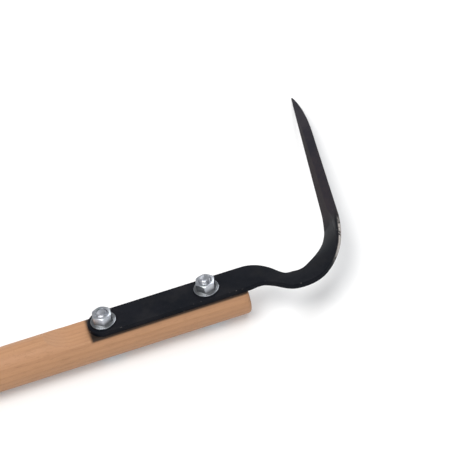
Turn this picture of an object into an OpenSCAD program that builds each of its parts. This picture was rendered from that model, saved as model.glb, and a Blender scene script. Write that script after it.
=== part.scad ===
// Flat cutter hoe: a steel strip with a twisted, ground blade, bolted on a milled flat of a round pole.
// It lies on the floor as it comes to rest, on its bolt heads and the tip of the blade, nuts up.
// X runs along the pole towards the hook, and the blade reaches out to +Y.

/* [Handle] */
// Diameter of the pole
handle_d = 30; // [28:1:40]
// Length of the pole
handle_l = 1200; // [300:10:1600]
// Depth of the flat that seats the strip
flat_depth = 5; // [3:0.5:7]
// Length of the flat behind the strip
flat_past = 12; // [2:1:60]
// Radius of the milling cutter, left where the flat runs out
cutter_r = 40; // [15:1:80]
// Wood in front of the front bolt
head_past = 27; // [16:1:28]
// Rounding of the head end's rim
head_round = 3; // [1:0.5:6]
// Rounding of the butt's rim
butt_round = 8; // [2:0.5:12]

/* [Shank] */
// Width of the strip where it is bolted down
shank_w = 22.4; // [20:0.2:28]
// Thickness of the strip
strip_t = 4; // [3:0.5:6]
// Distance between the two bolts
bolt_gap = 75; // [40:1:150]
// Steel behind the rear bolt
tail_past = 11.5; // [9:0.5:20]
// Broken edge along the strip
edge_break = 0.4; // [0.2:0.1:0.8]

/* [Hook] */
// Straight shank in front of the front bolt
neck_start = 28.6; // [28:0.2:40]
// Radius of the neck's bend, away from the blade
neck_r = 23; // [18:1:45]
// Turn of the neck in degrees
neck_turn = 42; // [20:1:55]
// Straight run between neck and heel
neck_run = 8.4; // [2:0.2:20]
// Radius of the heel's bend, towards the blade
heel_r = 21; // [14:1:30]
// Turn of the heel in degrees
heel_turn = 80; // [50:1:90]
// Radius of the wide bow between heel and blade
bow_r = 68; // [40:1:90]
// Turn of the bow in degrees
bow_turn = 43; // [20:1:60]
// Width of the strip at its waist, between neck and heel
waist_w = 13; // [11:0.5:20]
// Length over which the shank is drawn down to the waist
draw_l = 25.5; // [20:0.5:40]
// Length over which the strip widens again behind the waist
spread_l = 11; // [8:1:40]
// Twist of the hook in the neck, in degrees, outer edge up
neck_twist = 10; // [0:1:30]
// Length over which the neck twists
neck_twist_l = 30; // [20:1:50]
// Twist of the blade, in degrees, outer edge up
blade_twist = 56; // [20:1:70]
// Length of the bow over which the blade's twist is made
bow_twist_l = 53; // [25:1:60]
// Length between the end of the twist and the blade's base
twist_gap = 3; // [0:1:10]

/* [Blade] */
// Length of the blade to its point
blade_l = 163.4; // [110:0.2:240]
// Width of the blade at its base
blade_w = 17.8; // [15:0.2:22]
// Width that the blade would have at its end if the outer edge ran on straight
tip_w = 11.2; // [8:0.2:15]
// Length over which the outer edge curves in to the point
tip_curve = 58; // [20:1:65]
// Width left at the point
point_w = 1; // [0.8:0.1:3]
// Width of the bevel ground along the outer edge
outer_bevel_w = 6; // [2:0.5:8]
// Width of the bevel ground along the inner edge
inner_bevel_w = 3.5; // [1:0.5:6]
// Thickness left at the ground edges
edge_t = 0.5; // [0.3:0.1:1]
// Length over which the bevels run out into the bow
runout_l = 26; // [10:1:40]

/* [Bolts] */
// Thread diameter of bolts and nuts
bolt_d = 8; // [6:1:8]
// Clearance of a bolt in its holes, on the diameter
hole_clear = 0.6; // [0.2:0.1:1.5]
// Diameter of the mushroom head
head_d = 20.6; // [16:0.2:22]
// Height of the mushroom head
head_h = 4.9; // [3:0.1:6]
// How far the head is let into the wood
head_sink = 4.2; // [0.5:0.1:4.5]
// Length of the square neck under the head
square_l = 5.5; // [3:0.5:8]
// How much wider the square neck is than the thread
square_more = 0.2; // [0.1:0.1:0.5]
// Clearance of the square neck in the wood, on each side
square_clear = 0.05; // [0.02:0.01:0.3]
// How far the front bolt's end stands out of its nut
front_proud = 3; // [0.4:0.1:6]
// How far the rear bolt's end stands out of its nut
rear_proud = 0.6; // [0.4:0.1:6]

/* [Nuts] */
// Width of the hexagon across its flats
nut_flats = 13; // [11:0.5:14]
// Height of the nut with its flange
nut_h = 8; // [6:0.5:10]
// Diameter of the flange
flange_d = 17.9; // [16:0.1:20]
// Thickness of the flange at its rim
flange_rim = 1.2; // [0.8:0.1:2]
// Rise of the flange from its rim to the hexagon
flange_rise = 1.3; // [0.5:0.1:2]
// Clearance between the bolt and the nut's bore, on the radius
thread_clear = 0.05; // [0.02:0.01:0.2]
// Turn of the front nut, a corner's angle from X
front_nut_turn = 14; // [0:1:60]
// Turn of the rear nut
rear_nut_turn = 23; // [0:1:60]

/* [Hidden] */
$fn = 96;

// Rings of the swept strip: the step between them round the bends, and how many the bevels' run-out
// and the curve to the point have
RING_STEP = 2;
RUNOUT_RINGS = 8;
TIP_RINGS = 14;
// Flat left on the ridge where the two bevels meet
CREST = 0.3;
// Share of the point's width that one broken edge may take
EDGE_SHARE = 0.3;
// Extra length that takes a cut clear of the surface it starts from
CUT_PAST = 1;
// The tail's end is ground a little flatter than a half circle
TAIL_FLATTER = 0.5;
// Chamfers on the hexagon's corners, in degrees, and on the bolt's end
HEX_CHAMFER = 30;
END_CHAMFER = 0.9;
// The nut's upper face is a little smaller than its flats, and the flange's cone runs in under them
FACE_SMALLER = 0.5;
FLANGE_BLEND = 2;

handle_r = handle_d / 2;
seat_z = handle_r - flat_depth;
nut_z = seat_z + strip_t;
mid_z = seat_z + strip_t / 2;
hole_d = bolt_d + hole_clear;
square_w = bolt_d + square_more;
rear_x = -bolt_gap;
head_x = head_past;
flat_end_x = rear_x - tail_past - flat_past;

// Lengths along the strip's middle, from the start of the neck
neck_l = neck_r * neck_turn * PI / 180;
heel_l = heel_r * heel_turn * PI / 180;
bow_l = bow_r * bow_turn * PI / 180;
s_run = neck_l;
s_heel = s_run + neck_run;
s_bow = s_heel + heel_l;
s_blade = s_bow + bow_l;
s_tip = s_blade + blade_l;
s_tail = -(neck_start + bolt_gap + tail_past);
s_grind = s_blade - runout_l / 2;

// Headings in degrees at the ends of the bends
heel_heading = -neck_turn;
bow_heading = heel_heading + heel_turn;
blade_heading = bow_heading + bow_turn;

function smooth(t) = let (u = min(1, max(0, t))) u * u * (3 - 2 * u);
function along(h) = [cos(h), sin(h)];
function arc(p, h0, h1, r) = p + r * [sin(h1) - sin(h0), cos(h0) - cos(h1)];

p_neck = [neck_start, 0];
p_run = arc(p_neck, 0, -neck_turn, -neck_r);
p_heel = p_run + neck_run * along(heel_heading);
p_bow = arc(p_heel, heel_heading, bow_heading, heel_r);
p_blade = arc(p_bow, bow_heading, blade_heading, bow_r);

// Heading, middle, twist and width of the strip at length s
function heading(s) =
    s <= 0 ? 0 :
    s < s_run ? -neck_turn * s / neck_l :
    s < s_heel ? heel_heading :
    s < s_bow ? heel_heading + heel_turn * (s - s_heel) / heel_l :
    s < s_blade ? bow_heading + bow_turn * (s - s_bow) / bow_l :
    blade_heading;

function middle(s) =
    s <= 0 ? p_neck + [s, 0] :
    s < s_run ? arc(p_neck, 0, heading(s), -neck_r) :
    s < s_heel ? p_run + (s - s_run) * along(heel_heading) :
    s < s_bow ? arc(p_heel, heel_heading, heading(s), heel_r) :
    s < s_blade ? arc(p_bow, bow_heading, heading(s), bow_r) :
    p_blade + (s - s_blade) * along(blade_heading);

function twist(s) =
    neck_twist * smooth(s / neck_twist_l)
    + (blade_twist - neck_twist) * smooth((s - s_blade + twist_gap + bow_twist_l) / bow_twist_l);

function width(s) =
    s > s_blade ? blade_w + (tip_w - blade_w) * (s - s_blade) / blade_l
    : shank_w + (waist_w - shank_w) * smooth(s / draw_l)
        + (blade_w - waist_w) * smooth((s - draw_l) / spread_l);

// How far the outer edge has come in from its straight line, on the curve to the point
function come_in(s) = (tip_w - point_w) * pow(max(0, 1 - (s_tip - s) / tip_curve), 2);

// The section has its edges broken all round, and the blade's bevels are ground from its upper face.
// Where the bevels meet, towards the point, they keep their slopes and the ridge between them comes down.
function ground(s, plain, bevel) = plain + (bevel - plain) * smooth((s - s_grind) / runout_l);
function section(s) =
    let (
        w = width(s) / 2,
        out = come_in(s) - w,
        t = strip_t / 2,
        broken = min(edge_break, EDGE_SHARE * (w - out)),
        land = ground(s, t - edge_break, edge_break + edge_t - t),
        outer = ground(s, edge_break, outer_bevel_w),
        inner = ground(s, edge_break, inner_bevel_w),
        part = min(1, (w - out - CREST) / (outer + inner)),
        top = land + (t - land) * part
    )
    [
        [out + broken, -t], [w - broken, -t],
        [w, edge_break - t], [w, land],
        [w - inner * part, top], [out + outer * part, top],
        [out, land], [out, edge_break - t]
    ];

// One ring of points, square to the strip
function ring(s) =
    let (
        h = heading(s),
        a = twist(s),
        m = middle(s),
        across = [-sin(h) * cos(a), cos(h) * cos(a), -sin(a)],
        up = [-sin(h) * sin(a), cos(h) * sin(a), cos(a)]
    )
    [for (q = section(s)) [m.x, m.y, mid_z] + q.x * across + q.y * up];

bend_steps = ceil(s_grind / RING_STEP);
rings = concat(
    [ring(s_tail)],
    [for (i = [0 : bend_steps]) ring(s_grind * i / bend_steps)],
    [for (i = [1 : RUNOUT_RINGS]) ring(s_grind + runout_l * i / RUNOUT_RINGS)],
    [for (i = [TIP_RINGS : -1 : 0]) ring(s_tip - tip_curve * i / TIP_RINGS)]
);
strip_points = [for (r = rings) each r];
SIDES = len(rings[0]);
LAST = len(rings) - 1;

// The tool rolls over on its round bolt heads or on its pole until the blade meets the floor
dome_r = (head_d * head_d / 4 + head_h * head_h) / (2 * head_h);
dome_drop = handle_r - head_sink + head_h - dome_r;
function roll_on(p, drop, r) = atan2(p.z + drop, p.y) + asin(r / norm([p.y, p.z + drop]));
function roll_to(p) = max(roll_on(p, dome_drop, dome_r), roll_on(p, 0, handle_r));
roll = min([for (i = [LAST - TIP_RINGS : LAST], p = rings[i]) roll_to(p)]);
floor_z = -max(handle_r, dome_r + dome_drop * cos(roll));

// The origin is under the middle of the whole tool
function rolled_y(p) = p.y * cos(roll) + p.z * sin(roll);
x_high = max([for (p = strip_points) p.x]);
x_low = head_x - handle_l;
y_high = max([for (p = strip_points) rolled_y(p)]);
y_low = min(-handle_r, min([for (p = strip_points) rolled_y(p)]));

module at_rest() {
    translate([-(x_high + x_low) / 2, -(y_high + y_low) / 2, -floor_z])
        rotate([-roll, 0, 0])
            children();
}

// A round bar's half outline along X, both rims rounded, turned about its axis
module pole() {
    translate([x_low, 0, 0])
        rotate([0, 90, 0])
            rotate_extrude()
                union() {
                    square([handle_r - butt_round, butt_round + CUT_PAST]);
                    translate([0, handle_l - head_round - CUT_PAST])
                        square([handle_r - head_round, head_round + CUT_PAST]);
                    translate([0, butt_round])
                        square([handle_r, handle_l - butt_round - head_round]);
                    intersection() {
                        translate([handle_r - butt_round, butt_round]) circle(butt_round);
                        square([handle_r, butt_round + CUT_PAST]);
                    }
                    intersection() {
                        translate([handle_r - head_round, handle_l - head_round]) circle(head_round);
                        translate([0, handle_l - head_round - CUT_PAST])
                            square([handle_r, head_round + 2 * CUT_PAST]);
                    }
                }
}

module handle() {
    color("tan")
        at_rest()
            difference() {
                pole();
                flat_cut();
                bolt_way(0);
                bolt_way(rear_x);
            }
}

// The flat, with the milling cutter's round run-out behind it
module flat_cut() {
    translate([flat_end_x, -handle_r - CUT_PAST, seat_z])
        cube([head_x - flat_end_x + CUT_PAST, handle_d + 2 * CUT_PAST, cutter_r]);
    translate([flat_end_x, 0, seat_z + cutter_r])
        rotate([90, 0, 0])
            cylinder(r = cutter_r, h = handle_d + 2 * CUT_PAST, center = true);
}

// Hole for the bolt, square way for its neck and a seat for its head
module bolt_way(x) {
    way_w = square_w + 2 * square_clear;
    seat_low = -handle_r - CUT_PAST;
    translate([x, 0, 0]) {
        cylinder(d = hole_d, h = 2 * handle_d, center = true);
        translate([0, 0, seat_low])
            cylinder(d = head_d + hole_clear, h = head_sink + CUT_PAST);
        translate([-way_w / 2, -way_w / 2, seat_low])
            cube([way_w, way_w, head_sink + CUT_PAST + square_l + square_clear]);
    }
}

// The strip: one sweep from the tail to the tip, with a round tail and true bolt holes
module cutter() {
    color([0.12, 0.12, 0.13])
        at_rest()
            difference() {
                polyhedron(points = strip_points, faces = sweep_faces());
                tail_cut();
                for (x = [0, rear_x])
                    translate([x, 0, mid_z])
                        cylinder(d = hole_d, h = 2 * strip_t, center = true);
            }
}

function sweep_faces() = concat(
    [[for (k = [0 : SIDES - 1]) k]],
    [for (i = [0 : LAST - 1], k = [0 : SIDES - 1])
        let (a = i * SIDES + k, b = i * SIDES + (k + 1) % SIDES)
        each [[a, a + SIDES, b], [b, a + SIDES, b + SIDES]]],
    [[for (k = [SIDES - 1 : -1 : 0]) LAST * SIDES + k]]
);

module tail_cut() {
    end_r = shank_w / 2 + TAIL_FLATTER;
    x0 = rear_x - tail_past + end_r;
    difference() {
        translate([x0 - 2 * end_r, -shank_w, seat_z - CUT_PAST])
            cube([2 * end_r, 2 * shank_w, strip_t + 2 * CUT_PAST]);
        translate([x0, 0, seat_z - 2 * CUT_PAST])
            cylinder(r = end_r, h = strip_t + 4 * CUT_PAST);
    }
}

// Mushroom head and shank turned as one outline, its end just past the nut, and a square neck between
module coach_bolt(x, proud) {
    under_z = head_sink - handle_r;
    shank_l = nut_z + nut_h + proud - under_z;
    shank_r = bolt_d / 2;
    translate([x, 0, under_z])
        union() {
            rotate_extrude()
                union() {
                    intersection() {
                        translate([0, dome_r - head_h]) circle(dome_r);
                        translate([0, -2 * head_h]) square([head_d / 2, 2 * head_h]);
                    }
                    polygon([
                        [0, -CUT_PAST], [shank_r, -CUT_PAST],
                        [shank_r, shank_l - END_CHAMFER], [shank_r - END_CHAMFER, shank_l], [0, shank_l]
                    ]);
                }
            translate([-square_w / 2, -square_w / 2, -CUT_PAST])
                cube([square_w, square_w, square_l + CUT_PAST]);
        }
}

module front_bolt() {
    color("silver") at_rest() coach_bolt(0, front_proud);
}

module rear_bolt() {
    color("silver") at_rest() coach_bolt(rear_x, rear_proud);
}

// Hexagon with its upper corners turned off, standing on a conical flange
module flange_nut(x, turn) {
    bore_d = bolt_d + 2 * thread_clear;
    flange_top = (nut_flats - FLANGE_BLEND) / 2;
    translate([x, 0, nut_z])
        difference() {
            union() {
                rotate_extrude()
                    polygon([
                        [0, 0], [flange_d / 2, 0], [flange_d / 2, flange_rim],
                        [flange_top, flange_rim + flange_rise], [0, flange_rim + flange_rise]
                    ]);
                intersection() {
                    rotate([0, 0, turn])
                        cylinder(d = nut_flats / cos(30), h = nut_h, $fn = 6);
                    corner_turning();
                }
            }
            translate([0, 0, -CUT_PAST])
                cylinder(d = bore_d, h = nut_h + 2 * CUT_PAST);
            translate([0, 0, nut_h - END_CHAMFER])
                cylinder(d1 = bore_d - END_CHAMFER, d2 = bore_d + END_CHAMFER, h = 2 * END_CHAMFER);
        }
}

// What the lathe leaves of the hexagon: a face a little smaller than the flats, and a cone below it
module corner_turning() {
    clear_r = nut_flats / 2 / cos(30) + CUT_PAST;
    face_r = (nut_flats - FACE_SMALLER) / 2;
    cone_low = nut_h - (clear_r - face_r) * tan(HEX_CHAMFER);
    rotate_extrude()
        polygon([[0, -CUT_PAST], [clear_r, -CUT_PAST], [clear_r, cone_low], [face_r, nut_h], [0, nut_h]]);
}

module front_nut() {
    color("lightgray") at_rest() flange_nut(0, front_nut_turn);
}

module rear_nut() {
    color("lightgray") at_rest() flange_nut(rear_x, rear_nut_turn);
}

handle();
cutter();
front_bolt();
rear_bolt();
front_nut();
rear_nut();
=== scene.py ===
# %% [markdown]
# # A flat cutter hoe
#
# A strip of black-painted steel is bolted on the flat of a wooden pole. Its end swings aside, turns back
# in an arc and becomes a straight blade that stands on edge, ground sharp along both of its long sides.
#
# The imported CAD model is loaded first. It fixes where everything is: each piece below is modelled on the
# bench, in millimetres, with X along the pole and the front bolt at the origin, and is then laid down
# The model's pieces stay in the scene, hidden.

# %% Load the fixed frame
import math

import bmesh
import bpy
import numpy as np
from mathutils import Matrix, Vector


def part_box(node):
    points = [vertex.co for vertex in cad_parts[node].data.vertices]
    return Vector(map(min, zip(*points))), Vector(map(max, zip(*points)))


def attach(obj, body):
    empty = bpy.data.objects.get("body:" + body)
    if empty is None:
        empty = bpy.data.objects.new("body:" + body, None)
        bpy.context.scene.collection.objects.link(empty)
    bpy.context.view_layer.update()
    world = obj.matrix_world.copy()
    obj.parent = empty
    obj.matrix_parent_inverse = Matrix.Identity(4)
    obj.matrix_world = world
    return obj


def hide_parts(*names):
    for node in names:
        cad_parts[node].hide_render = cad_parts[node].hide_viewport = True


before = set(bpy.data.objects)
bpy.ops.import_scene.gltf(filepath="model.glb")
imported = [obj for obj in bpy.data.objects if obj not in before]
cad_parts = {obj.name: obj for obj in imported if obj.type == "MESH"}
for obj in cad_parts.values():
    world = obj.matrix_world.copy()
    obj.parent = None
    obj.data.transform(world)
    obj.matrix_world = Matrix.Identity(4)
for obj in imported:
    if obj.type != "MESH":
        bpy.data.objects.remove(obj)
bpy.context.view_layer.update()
print("nodes:", ", ".join(sorted(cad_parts)))

# %% [markdown]
# ## From the bench to the floor
#
# On the floor the tool rolls a few degrees about its pole, until the tip of the blade touches down. The
# roll is the same one that the CAD model has. The shift is read from the model's own boxes: the pole's
# lowest point is one radius under its axis, and the front nut's middle is at the front bolt.

# %% Where the bench origin comes to lie
POLE_R = 15.0
ROLL = math.radians(6.60565)

pole_low, pole_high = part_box("handle")
nut_low, nut_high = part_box("front_nut")
AXIS = Vector(((nut_low.x + nut_high.x) / 2, pole_low.y + POLE_R / 1000, pole_low.z + POLE_R / 1000))
AT_REST = Matrix.Translation(AXIS) @ Matrix.Rotation(-ROLL, 4, "X") @ Matrix.Scale(0.001, 4)
BUTT_X = (pole_low.x - AXIS.x) * 1000
HEAD_X = (pole_high.x - AXIS.x) * 1000
print("bench origin at", [round(v, 5) for v in AXIS], "pole from", round(BUTT_X, 1), "to", round(HEAD_X, 1))

# %% [markdown]
# ## Formulas in a node tree
#
# Both geometry trees and material trees do their sums with Math nodes. Placing them one by one hides the
# formula. The small class below lets an output socket take part in ordinary sums: adding two of them puts
# an Add node in the tree. The trees stay plain node trees that can be opened and edited afterwards.

# %% Sums of sockets
class Value:
    """One output socket of a node tree. A sum or product of such values adds Math nodes to the tree."""

    def __init__(self, tree, socket):
        self.tree, self.socket = tree, socket

    def math(self, operation, *others, clamp=False):
        node = self.tree.nodes.new("ShaderNodeMath")
        node.operation, node.use_clamp = operation, clamp
        for place, value in enumerate((self, *others)):
            feed(self.tree, node.inputs[place], value)
        return Value(self.tree, node.outputs[0])

    def __add__(self, other):
        return self.math("ADD", other)

    def __sub__(self, other):
        return self.math("SUBTRACT", other)

    def __mul__(self, other):
        return self.math("MULTIPLY", other)

    def __truediv__(self, other):
        return self.math("DIVIDE", other)

    def __neg__(self):
        return self * -1.0

    __radd__ = __add__
    __rmul__ = __mul__

    def __rsub__(self, other):
        return -self + other

    def __gt__(self, other):
        return self.math("GREATER_THAN", other)

    def clamped(self):
        return self.math("ADD", 0.0, clamp=True)

    def smooth(self):
        u = self.clamped()
        return u * u * (3.0 - 2.0 * u)


def feed(tree, socket, value):
    """Links a value to a socket, or sets the socket where the value is a plain number, colour or vector."""
    if isinstance(value, Value):
        tree.links.new(value.socket, socket)
    else:
        socket.default_value = value


def put(tree, kind, inputs=(), out=0, **settings):
    """Adds a node, sets it up, feeds the sockets named in inputs, and returns one output as a Value."""
    node = tree.nodes.new(kind)
    for name, setting in settings.items():
        setattr(node, name, setting)
    for name, value in dict(inputs).items():
        feed(tree, node.inputs[name], value)
    return Value(tree, node.outputs[out])


def split(vector):
    """The x, y and z of a vector, as three Values."""
    node = vector.tree.nodes.new("ShaderNodeSeparateXYZ")
    feed(vector.tree, node.inputs[0], vector)
    return [Value(vector.tree, output) for output in node.outputs]


def joined(tree, x, y, z=0.0):
    """A vector from three values or plain numbers."""
    return put(tree, "ShaderNodeCombineXYZ", {"X": x, "Y": y, "Z": z})


def mixed(a, b, share):
    """What lies a share of the way from a to b."""
    return a + (b - a) * share


def tree_inputs(tree, sizes):
    """Gives a group one named float input for each size, and returns all its inputs as Values."""
    for name, size in sizes.items():
        socket = tree.interface.new_socket(name, in_out="INPUT", socket_type="NodeSocketFloat")
        socket.default_value = size
    entry = tree.nodes.new("NodeGroupInput")
    return {s.name: Value(tree, s) for s in entry.outputs if s.name}


print("formulas ready")

# %% [markdown]
# ## Running a geometry tree once
#
# A tree runs as a modifier. Its inputs are set by the sockets' identifiers before the object is first
# evaluated. Then the result is kept as a plain mesh and the modifier is gone, so what is handed on is a
# finished mesh with nothing live on it. Every tree takes its piece's material and ends in Realize
# Instances and Set Material, because an export drops instances, and a bare mesh would look gray.

# %% Run a tree and keep its mesh
def new_object(name, data):
    """Puts a mesh, a lamp or a camera in the scene."""
    thing = bpy.data.objects.new(name, data)
    bpy.context.scene.collection.objects.link(thing)
    return thing


def keep_evaluated(piece):
    """Replaces the piece's mesh by what its modifiers make of it, and removes them."""
    graph = bpy.context.evaluated_depsgraph_get()
    mesh = bpy.data.meshes.new_from_object(piece.evaluated_get(graph), preserve_all_data_layers=True,
                                           depsgraph=graph)
    piece.modifiers.clear()
    piece.data = mesh


def run_tree(piece, tree, settings):
    modifier = piece.modifiers.new(tree.name, "NODES")
    modifier.node_group = tree
    for item in tree.interface.items_tree:
        if item.item_type == "SOCKET" and item.in_out == "INPUT" and item.name in settings:
            modifier[item.identifier] = settings[item.name]
    keep_evaluated(piece)


def new_tree(name, sizes, *kinds):
    """Starts a geometry tree. Its inputs are the kinds named, its piece's material and the sizes."""
    tree = bpy.data.node_groups.new(name, "GeometryNodeTree")
    tree.interface.new_socket("Geometry", in_out="OUTPUT", socket_type="NodeSocketGeometry")
    for kind in (*kinds, "Material"):
        tree.interface.new_socket(kind, in_out="INPUT", socket_type="NodeSocket" + kind)
    return tree, tree_inputs(tree, sizes)


def end_tree(tree, shape, material):
    real = put(tree, "GeometryNodeRealizeInstances", {"Geometry": shape})
    painted = put(tree, "GeometryNodeSetMaterial", {"Geometry": real, "Material": material})
    feed(tree, tree.nodes.new("NodeGroupOutput").inputs["Geometry"], painted)
    return tree


SEAM = 1e-4  # points closer than this, in millimetres, are one


def lay_down(piece, sharp=26.0):
    """Moves a bench piece to where the tool lies, closes its seams and marks its sharp edges."""
    work = bmesh.new()
    work.from_mesh(piece.data)
    bmesh.ops.remove_doubles(work, verts=work.verts, dist=SEAM)
    bmesh.ops.dissolve_degenerate(work, edges=work.edges, dist=SEAM)
    bmesh.ops.recalc_face_normals(work, faces=work.faces)
    bmesh.ops.transform(work, matrix=AT_REST, verts=work.verts)
    open_edges = sum(not edge.is_manifold for edge in work.edges)
    work.to_mesh(piece.data)
    work.free()
    piece.data.shade_smooth()
    piece.data.set_sharp_from_angle(angle=math.radians(sharp))
    print(piece.name, len(piece.data.polygons), "faces,", open_edges, "open edges")
    return piece


print("tree runner ready")

# %% [markdown]
# ## The strip
#
# On the real tool this is one flat bar, bent cold on edge and twisted, then ground. It could be pushed
# along a curve with a profile, but a curve's own frame decides how the profile leans. Here a rule says
# everything as a function of the length along the bar: the heading is a sum of ramps, one for each bend,
# and twist and width are smooth steps. The bar is drawn in to a waist at the neck and spreads again for
# the blade, and towards the point its outer edge comes in on an arc. So the tree lays a grid of rings and
# columns, adds up short steps for the middle line, and puts each ring's points where its section says.
#
# The grid's rows are rings one millimetre apart. Its columns go round the section, five to each rounded
# corner. Where the blade is ground, the two upper corners open into flat bevels. Ring 0 and the last one
# shrink to a point and close the ends, and three rings before the last one round the tip's rim.

# %% Sizes of the strip, in millimetres and degrees
SIZES = {
    "Bolt gap": 75.0, "Tail past": 11.5, "Neck start": 28.6,
    "Neck radius": 23.0, "Neck turn": 42.0, "Neck run": 8.4,
    "Heel radius": 21.0, "Heel turn": 80.0, "Bow radius": 68.0, "Bow turn": 43.0,
    "Shank width": 22.4, "Waist width": 13.0, "Draw length": 25.5, "Spread length": 11.0,
    "Blade width": 17.8, "Tip width": 11.2,
    "Thickness": 4.0, "Edge radius": 0.6, "Seat height": 10.0,
    "Neck twist": 10.0, "Neck twist length": 30.0,
    "Blade twist": 56.0, "Bow twist length": 53.0, "Twist gap": 3.0,
    "Blade length": 163.38, "Tip curve": 60.0, "Point width": 1.2, "Tip rounding": 0.2, "Crest": 0.3,
    "Outer bevel": 6.0, "Inner bevel": 3.5, "Bevel foot": 0.4, "Edge thickness": 0.5, "Run-out": 26.0,
    "Rings": 386.0,
}
CORNER_STEPS = 4
COLUMNS = 4 * (CORNER_STEPS + 1)
END_RINGS = 3


def bend_lengths(size):
    """The lengths of neck, heel and bow, from plain numbers or from a tree's Values."""
    bends = ("Neck", "Heel", "Bow")
    return [size[bend + " radius"] * size[bend + " turn"] * math.radians(1) for bend in bends]


BLADE_AT = sum(bend_lengths(SIZES)) + SIZES["Neck run"]
STRAIGHT = SIZES["Bolt gap"] + SIZES["Tail past"]
STRIP_L = STRAIGHT + SIZES["Neck start"] + BLADE_AT + SIZES["Blade length"]
SEAT_Z = SIZES["Seat height"]
NUT_Z = SEAT_Z + SIZES["Thickness"]
print("strip:", round(STRIP_L, 1), "mm long, blade from", round(BLADE_AT, 1))

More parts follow.
